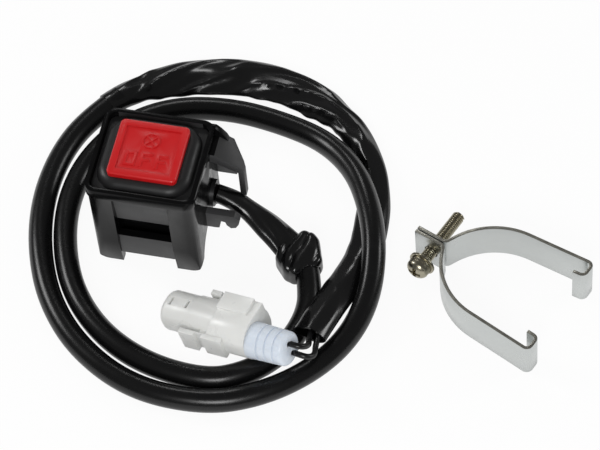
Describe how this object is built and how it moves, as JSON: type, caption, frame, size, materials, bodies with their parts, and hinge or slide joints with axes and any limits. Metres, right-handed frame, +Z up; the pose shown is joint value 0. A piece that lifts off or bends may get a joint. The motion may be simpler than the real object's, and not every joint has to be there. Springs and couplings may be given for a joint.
{
  "type": "handlebar engine kill switch",
  "caption": "Square push button kill switch on a saddle housing for a handlebar, with its sleeved lead coiled round it, a two-pole connector and a two-strip screw clamp.",
  "frame": {"origin": "on the handlebar's axis at the middle of the saddle, level with the feet of the housing", "axes": "+X along the handlebar towards the lead outlet, +Y towards the back of the switch, +Z up through the button"},
  "size_m": [0.1739, 0.1288, 0.0415],
  "materials": {
    "housing_plastic": "satin moulded",
    "black_rubber": "soft satin",
    "button_red": "semi gloss",
    "inner_plastic": "moulded",
    "spring_steel": "drawn",
    "zinc_steel": "zinc plated",
    "contact_brass": "stamped",
    "board_laminate": "laminate",
    "sleeve_vinyl": "soft gloss",
    "tape_vinyl": "folded, glossy",
    "ground_wire": "insulated",
    "stop_wire": "insulated",
    "connector_nylon": "milky nylon",
    "boot_silicone": "translucent",
    "plated_strip": "zinc plated",
    "plated_screw": "yellow passivated"
  },
  "bodies": {
    "housing": {"switch_housing": "housing_plastic", "rubber_boot": "black_rubber", "return_spring": "spring_steel", "guide_plate": "inner_plastic", "guide_screws": "zinc_steel", "contact_board": "board_laminate", "board_screws": "zinc_steel", "fixed_contact_left": "contact_brass", "fixed_contact_right": "contact_brass", "outlet_grommet": "black_rubber", "ground_wire_switch_end": "ground_wire", "stop_wire_switch_end": "stop_wire", "lead_sleeve": "sleeve_vinyl", "tape_wrap": "tape_vinyl", "main_sleeve": "sleeve_vinyl", "wide_sleeve": "sleeve_vinyl", "ground_wire_connector_end": "ground_wire", "stop_wire_connector_end": "stop_wire", "connector_housing": "connector_nylon", "connector_boot": "boot_silicone", "connector_terminals": "contact_brass", "clamp_strip_front": "plated_strip", "clamp_strip_rear": "plated_strip"},
    "button": {"button_cap": "button_red", "plunger": "inner_plastic", "plunger_clip": "spring_steel", "moving_contact": "contact_brass", "contact_push_nut": "spring_steel"},
    "clamp_washers": {"flat_washer": "plated_screw", "spring_washer": "plated_screw"},
    "clamp_screw": {"clamp_screw": "plated_screw"}
  },
  "joints": [
    {"name": "button_press", "type": "slide", "parent": "housing", "child": "button", "axis": [0, 0, -1], "range_m": [0, 0.0025], "stiffness_N_per_m": 600, "springref_m": -0.002, "deforming": ["return_spring", "rubber_boot"]},
    {"name": "clamp_screw_travel", "type": "slide", "parent": "housing", "child": "clamp_washers", "axis": [0.3843, 0.9232, 0], "range_m": [-0.0056, 0.00385]},
    {"name": "clamp_screw_turn", "type": "hinge", "parent": "clamp_washers", "child": "clamp_screw", "pos_m": [0.0844, 0.003, 0.0065], "axis": [0.3843, 0.9232, 0], "range_deg": [-2880, 1980]}
  ],
  "couplings": [
    {"joint": "clamp_screw_turn", "follows": "clamp_screw_travel", "rad_per_m": 8976}
  ]
}
